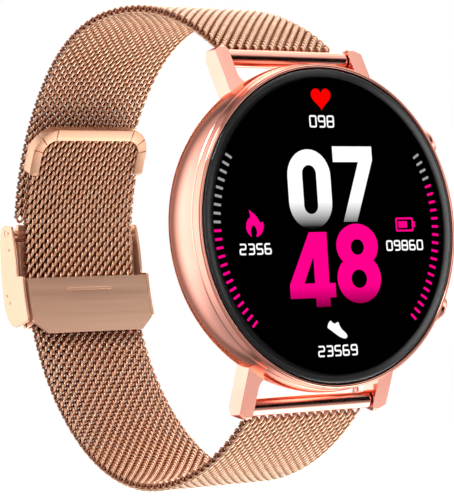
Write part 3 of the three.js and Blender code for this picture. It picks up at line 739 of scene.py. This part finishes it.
def tail_half_width(along):
    """The tail narrows inside the rounded corners of its end trim."""
    left = LONG_ROUTE.length - along
    corner, inset = 2.9, 0.75
    half = MESH_HALF_WIDTH if left > 6.4 else MESH_HALF_WIDTH - inset
    if left < corner:
        half -= corner - math.sqrt(corner ** 2 - (corner - left) ** 2)
    return half


short_mesh = wire_mesh("short_mesh_wires", SHORT_ROUTE)
long_mesh = wire_mesh("long_mesh_wires", LONG_ROUTE, tail_half_width, (0, TAIL_SPLIT))
long_tail = wire_mesh("long_tail_wires", LONG_ROUTE, tail_half_width, (TAIL_SPLIT, 1))
install(short_mesh, None, WIRE, "mesh", "short_mesh_front", "short_mesh_back")
install(long_mesh, None, WIRE, "mesh", "long_mesh_front")
install(long_tail, "long_strap_back", WIRE, "mesh", "long_mesh_back")
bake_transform(short_mesh)
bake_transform(long_mesh)


# ------------ end trim of the tail
def end_trim():
    """A U-shaped bar with flat faces, swept round the tail's end, with fine nicks at its bends."""
    half_width, top, corner, foot = 9.35, 19.3, 2.95, 13.5
    line = [(-half_width, foot), (-half_width, top - corner)]
    line += arc((-half_width + corner, top - corner), corner, math.pi, math.pi / 2, 36)[1:]
    line.append((0, top))
    line = np.array(line + [(-x, z) for x, z in line[-2::-1]])
    steps = np.linalg.norm(np.diff(line, axis=0), axis=1)
    reach = np.concatenate([[0], np.cumsum(steps)])
    total = reach[-1]
    bend = top - corner - foot
    nicks = [bend + corner * rad(a) for a in (12, 42, 84)]
    nicks += [total - n for n in nicks]
    nick_half, tip = 0.09, 0.5
    stations = set(np.linspace(tip, total - tip, 110))
    stations = {t for t in stations if min(abs(t - n) for n in nicks) > 2 * nick_half}
    for n in nicks:
        stations |= {n - nick_half, n, n + nick_half}
    for a in np.linspace(0, math.pi / 2, 7)[:-1]:
        stations |= {tip - tip * math.cos(a), total - tip + tip * math.cos(a)}
    section = rounded_box(-0.8, -0.95, 0.8, 0.95, 0.14, 3)
    verts = []
    for t in sorted(stations):
        x, z = np.interp(t, reach, line[:, 0]), np.interp(t, reach, line[:, 1])
        way = np.array([np.interp(t + 0.05, reach, line[:, k]) - np.interp(t - 0.05, reach, line[:, k])
                        for k in (0, 1)])
        way /= np.linalg.norm(way)
        from_end = min(t, total - t)
        narrow = math.sqrt(1 - (1 - from_end / tip) ** 2) if from_end < tip else 1.0
        sunk = 0.16 if min(abs(t - n) for n in nicks) < 1e-9 else 0.0
        thin = 0.75 * min(1.0, max(0.0, (from_end - nicks[0]) / (nicks[2] - nicks[0])))
        for across_bar, out in section:
            wide = across_bar * (0.35 + 0.65 * narrow)
            px, pz = x - way[1] * wide, z + way[0] * wide
            radius = LONG_RADIUS + (out + sunk if out < 0 else out - sunk - thin)
            angle = math.asin((pz - BACK_Z) / LONG_RADIUS)
            verts.append((px, BACK_Y + radius * math.cos(angle), BACK_Z + radius * math.sin(angle)))
    around = len(section)
    faces = ring_faces(len(stations), around)
    faces.append(tuple(range(around)))
    faces.append(tuple(range(len(verts) - 1, len(verts) - 1 - around, -1)))
    return new_object("end_trim_bar", verts, faces, 28)


install(end_trim(), "long_strap_back", TRIM, "clasp", "end_trim")


# ------------ clasp
COVER_HALF_WIDTH = 11.15
COVER_WALL_X = (10.95, 11.4)
DIMPLE_X = 11.46
BASE_WALL_X = (9.95, 10.35)
FLAP_EAR_X = (10.39, 10.65)
COVER_PIN_BORE, BASE_PIN_BORE, FLAP_PIN_BORE = 0.46, 0.34, 0.36
BORE_REACH = 12
# radii of the cover wall's near rim: beside the flap, next to it, and at the pin end
HOOK_RIM, NEAR_RIM, PIN_END_RIM = 33.0, 34.6, 35.8


def cover_wall():
    top, step, bottom = rad(10.2), rad(-2.2), rad(-13.9)
    rim, centre = COVER_RADIUS + 0.06, (BACK_Y, BACK_Z)
    points = [back_point(36.0, top), back_point(37.4, top)]
    points += curve_to(points[-1], back_point(rim, top), back_point(rim, top - rad(2.6)), 8)
    points += arc(centre, rim, top - rad(2.6), rad(-7.5), 16)[1:]
    points += curve_to(points[-1], back_point(rim - 0.1, bottom + rad(0.4)), back_point(36.2, bottom), 8)
    points += rounded([points[-1], back_point(HOOK_RIM, bottom), back_point(HOOK_RIM, bottom + rad(2))],
                      0.5, 4, closed=False)[1:]
    points += arc(centre, HOOK_RIM, bottom + rad(2), step - rad(1), 8)[1:]
    points += rounded([points[-1], back_point(HOOK_RIM, step), back_point(NEAR_RIM, step + rad(0.3)),
                       back_point(NEAR_RIM, step + rad(1.4))], 0.5, 4, closed=False)[1:]
    # the near rim rises towards the pin end
    points += curve_to(points[-1], back_point(NEAR_RIM, rad(4)),
                       back_point(PIN_END_RIM, top - rad(0.8)), 10)
    return points


def cover_skin():
    top, bend = COVER_PIN_ANGLE - rad(1), rad(-6.5)
    inner, centre = COVER_RADIUS - SHEET, (BACK_Y, BACK_Z)
    points = arc(centre, COVER_RADIUS, top, bend, 16)
    points += curve_to(points[-1], back_point(COVER_RADIUS - 0.4, rad(-12.3)),
                       back_point(37.3, rad(-13.5)), 8)
    points.append(back_point(36.9, rad(-13.1)))
    points += curve_to(points[-1], back_point(inner - 0.4, rad(-12)), back_point(inner, bend), 8)
    return points + arc(centre, inner, bend, top, 16)[1:]


def clasp_cover():
    """A folded sheet: the outer skin, two side walls with small pressed dimples, and the pin's bore."""
    cover = prism("clasp_cover_sheet", cover_skin(), -COVER_HALF_WIDTH, COVER_HALF_WIDTH)
    bevelled(cover, 0.06, 2, 40)
    inner, outer = COVER_WALL_X
    for sx in (-1, 1):
        wall = bevelled(prism("wall", cover_wall(), sx * inner, sx * outer), 0.12, 3, 40)
        for y, z in ((63.3, 4.9), (63.3, 2.4), (64.7, -4.4), (63.9, -5.5)):
            dimple = lathe("dimple", [(0, -0.26), (0.18, -0.2), (0.27, 0), (0.18, 0.2), (0, 0.26)],
                           (sx * DIMPLE_X, y, z), "x", segments=20)
            boolean(wall, dimple, "DIFFERENCE")
        boolean(cover, wall, "UNION")
    pin = back_point(COVER_PIN_RADIUS, COVER_PIN_ANGLE)
    bore(cover, COVER_PIN_BORE, -BORE_REACH, BORE_REACH, (0, *pin))
    tidy_normals(cover, 35)
    return flat_shading(cover)


def clasp_base():
    start, end = rad(-14.5), rad(6.4)
    inner, outer = BASE_WALL_X
    pin = back_point(FLAP_PIN_RADIUS, FLAP_PIN_ANGLE)
    base = prism("clasp_base_channel", back_band(BASE_FLOOR_RADIUS - 0.4, BASE_FLOOR_RADIUS, start, end),
                 -outer, outer)
    for sx in (-1, 1):
        low, high = sorted((sx * inner, sx * outer))
        for outline in (back_band(35.4, BASE_FLOOR_RADIUS - 0.01, start, end),
                        back_band(BASE_WALL_RADIUS, 35.7, start, FLAP_PIN_ANGLE, 12),
                        arc(pin, 0.52, 0, 2 * math.pi * 23 / 24, 23)):
            boolean(base, prism("wall", outline, low, high), "UNION")
    bore(base, BASE_PIN_BORE, -BORE_REACH, BORE_REACH, (0, *pin))
    return flat_shading(bevelled(base, 0.05, 2, 45))


def lock_flap():
    """A curved plate with cut corners, a raised bar, and two ears on the flap pin."""
    pin = back_point(FLAP_PIN_RADIUS, FLAP_PIN_ANGLE)
    plate = prism("lock_flap_plate", back_band(FLAP_RADIUS - SHEET, FLAP_RADIUS, rad(-20), 0, 40), -11, 11)
    inner, outer = FLAP_EAR_X
    outline = [(-outer, -2.1), (outer, -2.1), (outer, -8.6), (8.4, -10.5), (-8.4, -10.5), (-outer, -8.6)]
    boolean(plate, prism("outline", rounded(outline, 0.25, 3), 50, 70, "y"), "INTERSECT")
    for sx in (-1, 1):
        low, high = sorted((sx * inner, sx * outer))
        ear = prism("ear", back_band(FLAP_RADIUS - 0.2, 34.4, rad(-12.6), rad(-2.8), 12), low, high)
        boolean(plate, ear, "UNION")
    bore(plate, FLAP_PIN_BORE, -BORE_REACH, BORE_REACH, (0, *pin))
    bar = prism("bar", rounded_box(-3.9, -4.12, 3.9, -3.68, 0.2, 4), 59.32, 59.8, "y")
    boolean(plate, bevelled(bar, 0.1, 3), "UNION")
    return flat_shading(bevelled(plate, 0.06, 2, 45))


install(clasp_cover(), "cover", CLASP, "clasp", "clasp_cover")
install(clasp_base(), "clasp_slider", CLASP, "clasp", "clasp_base")
install(lock_flap(), "flap", CLASP, "clasp", "lock_flap")


# ------------ back of the case
SCREW_RING = 17.9
SCREW_PLACES = [(SCREW_RING * math.cos(rad(a)), SCREW_RING * math.sin(rad(a))) for a in (45, 135, 225, 315)]
CONTACT_PLACES = [(-3, -11.6), (3, -11.6)]


def back_cover():
    crown = curve_to((19.1, 8.85), (14.5, 9.05), (10.5, 9.7), 10)
    crown += curve_to(crown[-1], (8.8, 9.95), (7.2, 9.95), 8)
    cover = lathe("back_cover_shell", [(6.5, 7.65), (19.0, 7.65), (19.0, 8.1), (19.5, 8.1), (19.5, 8.6),
                                       (19.38, 8.78), (19.1, 8.85), *crown, (6.6, 9.95), (6.5, 9.88)],
                  segments=192)
    for x, z in SCREW_PLACES:
        for radius, start in ((0.6, 7), (1.3, 8.2)):
            bore(cover, radius, start, 10, (x, 0, z), "y")
    for x, z in CONTACT_PLACES:
        bore(cover, 1.0, 7, 11, (x, 0, z), "y")
    tidy_normals(cover, 30)
    return cover


def sensor_window():
    dome = curve_to((6.4, 9.95), (6.2, 10.4), (5.2, 10.45), 8)
    return lathe("sensor_window_lens", [(0, 8.6), (6.4, 8.6), (6.4, 9.95), *dome, (0, 10.45)], segments=128)


install(back_cover(), "watch_case", BLACK_PLASTIC, "back", "back_cover")
install(sensor_window(), "watch_case", LENS, "window", "sensor_window")


# ------------ lit dial
DIAL_Y = 0.375
DIAL_BACK_Y = 0.39


def shape_on_dial(name, outlines, material):
    """Filled outlines in x, z, the second and later ones inside the first being holes."""
    curve = bpy.data.curves.new(name, "CURVE")
    curve.dimensions = "2D"
    curve.fill_mode = "BOTH"
    curve.extrude = (DIAL_BACK_Y - DIAL_Y) / 2 * MM
    for outline in outlines:
        spline = curve.splines.new("POLY")
        spline.points.add(len(outline) - 1)
        for point, (x, z) in zip(spline.points, outline):
            point.co = (x * MM, z * MM, 0, 1)
        spline.use_cyclic_u = True
    thing = linked(name, curve)
    seen = thing.evaluated_get(bpy.context.evaluated_depsgraph_get())
    mesh = bpy.data.meshes.new_from_object(seen)
    bpy.data.objects.remove(thing)
    # the curve's plane is x, y with its face along +z; the dial's is x, z with its face along -y
    middle = ((DIAL_Y + DIAL_BACK_Y) / 2 - WRIST_Y) * MM
    mesh.transform(Matrix(((1, 0, 0, 0), (0, 0, -1, middle), (0, 1, 0, 0), (0, 0, 0, 1))))
    return install(linked(name, mesh), "watch_case", material, "display")


def ellipse(cx, cz, rx, rz, steps=48):
    return [(cx + rx * math.cos(a), cz + rz * math.sin(a))
            for a in np.linspace(0, 2 * math.pi, steps, endpoint=False)]


def stadium(cx, cz, half_width, half_height, steps=20):
    straight = half_height - half_width
    upper = [(cx + half_width * math.cos(a), cz + straight + half_width * math.sin(a))
             for a in np.linspace(0, math.pi, steps)]
    return upper + [(2 * cx - x, 2 * cz - z) for x, z in upper]


WHITE, PINK, RED, GREY = (1.0, 1.0, 1.0), (1.0, 0.0, 0.26), (1.0, 0.0, 0.0), (0.33, 0.33, 0.33)
FADED_WHITE = lit("lit_white_fade", WHITE, (0.005, 0.005, 0.005), 3.3, -0.1)
FADED_PINK = lit("lit_pink_fade", PINK, (0.2, 0.0, 0.045), -7.9, -10.8)
LIT_WHITE, LIT_PINK = lit("lit_white", WHITE), lit("lit_pink", PINK)
LIT_RED, LIT_GREY = lit("lit_red", RED), lit("lit_grey", GREY)

shape_on_dial("hour_zero", [stadium(-2.9, 4.9, 3.6, 5.3), stadium(-2.87, 4.85, 1.17, 3.25)], FADED_WHITE)
shape_on_dial("hour_seven", [[(1.3, 10.6), (8.05, 10.6), (8.05, 8.75), (4.75, 0.5), (2.45, 0.5),
                              (5.6, 8.5), (1.3, 8.5)]], FADED_WHITE)
shape_on_dial("minute_four", [[(-3.6, -0.8), (-0.65, -0.8), (-0.7, -7.6), (0.3, -7.6), (0.3, -9.5),
                               (-0.75, -9.5), (-0.75, -10.7), (-3.1, -10.7), (-3.1, -9.5), (-7.3, -9.5),
                               (-7.3, -7.7)],
                              [(-3.1, -4.0), (-3.1, -7.55), (-4.9, -7.55)]], FADED_PINK)


def eight_outline():
    """Two overlapping ellipses, joined where they cross."""
    upper = [(x, z) for x, z in ellipse(4.45, -2.75, 3.55, 2.97, 96) if z > -4.9]
    lower = [(x, z) for x, z in ellipse(4.45, -7.1, 3.72, 3.3, 96) if z < -4.9]
    centre = np.array([4.45, -4.9])
    return sorted(upper + lower, key=lambda p: math.atan2(p[1] - centre[1], p[0] - centre[0]))


shape_on_dial("minute_eight", [eight_outline(), ellipse(4.45, -2.9, 1.13, 1.05),
                               ellipse(4.42, -7.15, 1.33, 1.23)], FADED_PINK)


def stroke(points, width, closed):
    """The outline, or the outer and inner outlines, of a line of constant width."""
    line = np.array(points, float)
    if closed:
        before, after = np.roll(line, 1, axis=0), np.roll(line, -1, axis=0)
    else:
        before = np.vstack([line[:1], line[:-1]])
        after = np.vstack([line[1:], line[-1:]])
    ahead = after - before
    ahead /= np.maximum(np.linalg.norm(ahead, axis=1)[:, None], 1e-9)
    side = np.stack([-ahead[:, 1], ahead[:, 0]], axis=1) * width / 2
    left, right = line + side, line - side
    if closed:
        return [[tuple(p) for p in right], [tuple(p) for p in left]]
    return [[tuple(p) for p in left] + [tuple(p) for p in right[::-1]]]


# Each numeral is drawn in a unit box with one or two lines; True marks a closed line.
NUMERALS = {
    "0": [([(0, 0), (1, 0), (1, 1), (0, 1)], True)],
    "2": [([(0, 1), (1, 1), (1, 0.5), (0, 0.5), (0, 0), (1, 0)], False)],
    "3": [([(0, 1), (1, 1), (1, 0), (0, 0)], False), ([(0.2, 0.5), (0.9, 0.5)], False)],
    "5": [([(1, 1), (0, 1), (0, 0.5), (1, 0.5), (1, 0), (0, 0)], False)],
    "6": [([(0, 0), (1, 0), (1, 0.5), (0, 0.5)], True), ([(0.9, 1), (0, 1), (0, 0.4)], False)],
    "8": [([(0, 0), (1, 0), (1, 1), (0, 1)], True), ([(0.12, 0.5), (0.88, 0.5)], False)],
    "9": [([(0, 0.5), (1, 0.5), (1, 1), (0, 1)], True), ([(1, 0.6), (1, 0), (0.1, 0)], False)],
}


def small_number(name, digits, left, bottom, width, height, line=0.23):
    pitch = width / len(digits)
    glyph_width = pitch * 0.84 - line
    count = 0
    for i, digit in enumerate(digits):
        for path, closed in NUMERALS[digit]:
            corners = [(left + line / 2 + i * pitch + u * glyph_width,
                        bottom + line / 2 + v * (height - line)) for u, v in path]
            line_points = rounded(corners, 0.2, 3, closed)
            shape_on_dial(f"{name}_{count}", stroke(line_points, line, closed), LIT_WHITE)
            count += 1


small_number("heart_count", "098", -2.2, 13.1, 4.4, 1.65)
small_number("calorie_count", "2356", -15.1, -3.6, 5.4, 1.5)
small_number("charge_count", "09860", 9.5, -3.55, 6.7, 1.45)
small_number("step_count", "23569", -3.4, -17.3, 6.9, 1.5)


def heart():
    points = []
    for t in np.linspace(0, 2 * math.pi, 60, endpoint=False):
        x = 16 * math.sin(t) ** 3
        z = 13 * math.cos(t) - 5 * math.cos(2 * t) - 2 * math.cos(3 * t) - math.cos(4 * t)
        points.append((0.02 + x * 0.104, 17.1 + z * 0.103))
    return points


shape_on_dial("heart_sign", [heart()], LIT_RED)
shape_on_dial("flame_sign", [rounded([
    (-13.2, 2.3), (-12.1, 1.5), (-11.4, 0.5), (-11.05, 0.75), (-10.9, 0.1), (-11.2, -0.65),
    (-11.7, -1.15), (-12.25, -1.3), (-12.05, -0.6), (-12.25, 0.0), (-12.63, 0.38), (-13.0, -0.15),
    (-13.1, -0.7), (-12.95, -1.3), (-13.55, -0.8), (-13.8, -0.1), (-13.7, 0.6), (-13.3, 1.25),
    (-13.15, 1.0), (-13.0, 1.6)], 0.16, 3)], LIT_PINK)
for sign, *boxes in (("battery_sign", (11.4, -0.95, 14.5, 0.95, 0.3), (11.65, -0.7, 14.25, 0.7, 0.15)),
                     ("battery_level", (11.9, -0.45, 13.4, 0.45, 0.08)),
                     ("battery_tip", (14.55, -0.4, 14.8, 0.4, 0.08))):
    shape_on_dial(sign, [rounded_box(*box) for box in boxes], LIT_PINK)
shape_on_dial("shoe_sign", [rounded([
    (-0.9, -12.5), (-0.7, -12.85), (-0.26, -13.0), (0.15, -12.8), (0.35, -12.8), (0.5, -13.3),
    (0.85, -13.8), (1.5, -14.3), (1.75, -14.7), (1.5, -15.0), (1.1, -15.0), (0.4, -14.75),
    (-0.9, -13.9), (-1.6, -13.45), (-1.3, -12.8)], 0.2, 3)], LIT_WHITE)

TICK_RADIUS = 18.37
for label, way, grey_count in (("left", -1, 9), ("right", 1, 4)):
    for i in range(22):
        angle = rad(30.4 - 3.5 * i)
        centre = np.array([way * math.cos(angle), math.sin(angle)]) * TICK_RADIUS
        out = centre / TICK_RADIUS
        side = np.array([-out[1], out[0]])
        long_half, thin_half = 0.55, 0.17
        box = [centre + a * long_half * out + b * thin_half * side
               for a, b in ((-1, -1), (1, -1), (1, 1), (-1, 1))]
        shape_on_dial(f"tick_{label}_{i}", [rounded(box, 0.05, 2)],
                      LIT_GREY if i < grey_count else LIT_PINK)


# ------------ floor, light and camera
def stage_floor():
    # in metres; low enough for the opened strap to swing down
    size, room_below = 4.0, 0.085
    level = cad_box[0][2] - room_below
    mesh = bpy.data.meshes.new("studio_floor")
    corners = [(x * size, y * size, level) for x, y in ((-1, -1), (1, -1), (1, 1), (-1, 1))]
    mesh.from_pydata(corners, [], [(0, 1, 2, 3)])
    floor = linked("studio_floor", mesh)
    paint = Paint("studio_floor")
    # painted light: the floor glows by itself for the camera, and glows less near the middle, under the
    # watch, than further out
    reach = paint.add("VectorMath", {"operation": "LENGTH"}, Vector=paint.place).outputs["Value"]
    paint.set(Base_Color=(0.15, 0.15, 0.15, 1), Roughness=0.9, Specular_IOR_Level=0.0,
              Emission_Color=(1, 1, 1, 1), Emission_Strength=paint.ramp(reach, 0.86, 1.1, 0.05, 0.2))
    # the object reflects the studio light alone, not the floor
    clear = paint.add("BsdfTransparent")
    seen = paint.add("LightPath").outputs["Is Camera Ray"]
    paint.mix_shaders(seen, clear.outputs[0], paint.shader.outputs[0])
    mesh.materials.append(paint.material)


def studio_world(base, strips, lobes):
    """Light from all round: a base level plus softboxes with soft edges.
    A strip stands upright: azimuth and half width in degrees, brightness, middle height and half
    height as parts of the sky's radius. A lobe is round: direction, half width, brightness."""
    world = bpy.data.worlds.new("studio")
    bpy.context.scene.world = world
    world.use_nodes = True
    tree = world.node_tree
    tree.nodes.clear()
    link = tree.links.new

    def math_node(kind, a, b=None):
        node = tree.nodes.new("ShaderNodeMath")
        node.operation = kind
        for socket, value in zip(node.inputs, (a, b)):
            if isinstance(value, bpy.types.NodeSocket):
                link(value, socket)
            elif value is not None:
                socket.default_value = value
        return node.outputs[0]

    def vector_node(kind, a, b=None):
        node = tree.nodes.new("ShaderNodeVectorMath")
        node.operation = kind
        link(a, node.inputs[0])
        if b is not None:
            node.inputs[1].default_value = b
        return node

    def fade(value):
        return math_node("EXPONENT", math_node("MULTIPLY", value, -1.0))

    def softbox(way, direction, width):
        """1 inside the half width, falling softly to 0 outside it."""
        dot = vector_node("DOT_PRODUCT", way, Vector(direction).normalized()).outputs["Value"]
        away = math_node("MULTIPLY", math_node("SUBTRACT", 1.0, dot), 1 / (1 - math.cos(rad(width))))
        return fade(math_node("MULTIPLY", away, away))

    way = tree.nodes.new("ShaderNodeTexCoord").outputs["Generated"]
    level_way = vector_node("NORMALIZE", vector_node("MULTIPLY", way, (1, 1, 0)).outputs[0]).outputs[0]
    split = tree.nodes.new("ShaderNodeSeparateXYZ")
    link(way, split.inputs[0])
    total = base
    for azimuth, width, level, middle, half in strips:
        across = softbox(level_way, (math.cos(rad(azimuth)), math.sin(rad(azimuth)), 0), width)
        up = math_node("MULTIPLY", math_node("SUBTRACT", split.outputs["Z"], middle), 1 / half)
        up = fade(math_node("POWER", math_node("ABSOLUTE", up), 4.0))
        total = math_node("ADD", math_node("MULTIPLY", math_node("MULTIPLY", across, up), level), total)
    for direction, width, level in lobes:
        total = math_node("ADD", math_node("MULTIPLY", softbox(way, direction, width), level), total)
    total = math_node("MAXIMUM", total, 0.0)
    seen = tree.nodes.new("ShaderNodeLightPath").outputs["Is Camera Ray"]
    room, backdrop = tree.nodes.new("ShaderNodeBackground"), tree.nodes.new("ShaderNodeBackground")
    link(total, room.inputs["Strength"])
    for node in (room, backdrop):
        node.inputs["Color"].default_value = (1, 1, 1, 1)
    mix = tree.nodes.new("ShaderNodeMixShader")
    link(seen, mix.inputs[0])
    link(room.outputs[0], mix.inputs[1])
    link(backdrop.outputs[0], mix.inputs[2])
    link(mix.outputs[0], tree.nodes.new("ShaderNodeOutputWorld").inputs[0])


def area_light(name, position, target, size, power):
    light = bpy.data.lights.new(name, "AREA")
    light.shape = "DISK"
    light.size = size
    light.energy = power
    lamp = linked(name, light)
    lamp.location = position
    lamp.rotation_euler = (Vector(target) - Vector(position)).to_track_quat("-Z", "Y").to_euler()


stage_floor()
studio_world(0.38, [
    (134, 24, 1.5, 0.1, 0.62),
    (50, 23, 2.3, 0.4, 0.45),
    (224, 10, 2.3, 0.15, 0.5),
    (333, 12, 2.2, 0.02, 0.36),
    (268, 10, 1.4, 0.0, 0.35),
    (88, 12, -0.5, 0.0, 2.0),
], [
    ((0.31, -0.25, 0.92), 20, 1.4),
    ((0.58, 0.0, -0.80), 27, 3.4),
    ((0.58, 0.10, 0.79), 24, 1.0),
    ((0.45, 0.85, 0.0), 62, 0.5),
    ((0.55, 0.42, -0.72), 22, 1.8),
    ((0.59, -0.52, 0.62), 9, 0.7),
    ((0.59, -0.8, 0.06), 20, -0.6),
])
area_light("key_light", (-0.35, -0.35, 0.5), (0, 0, 0), 0.2, 1.0)

camera_data = bpy.data.cameras.new("camera")
camera = linked("camera", camera_data)
ahead = Vector((0.5908, 0.8047, 0.0584)).normalized()
right = Vector((0.8066, -0.5873, -0.0672))
right = (right - ahead * right.dot(ahead)).normalized()
above = right.cross(ahead)
camera.matrix_world = Matrix.Translation((-0.20665, -0.29382, -0.02135)) @ Matrix(
    (right, above, -ahead)).transposed().to_4x4()
camera_data.sensor_fit = "HORIZONTAL"
camera_data.sensor_width = 36
camera_data.lens = 198.2
camera_data.clip_start = 0.01
bpy.context.scene.camera = camera
bpy.context.scene.view_settings.view_transform = "Standard"
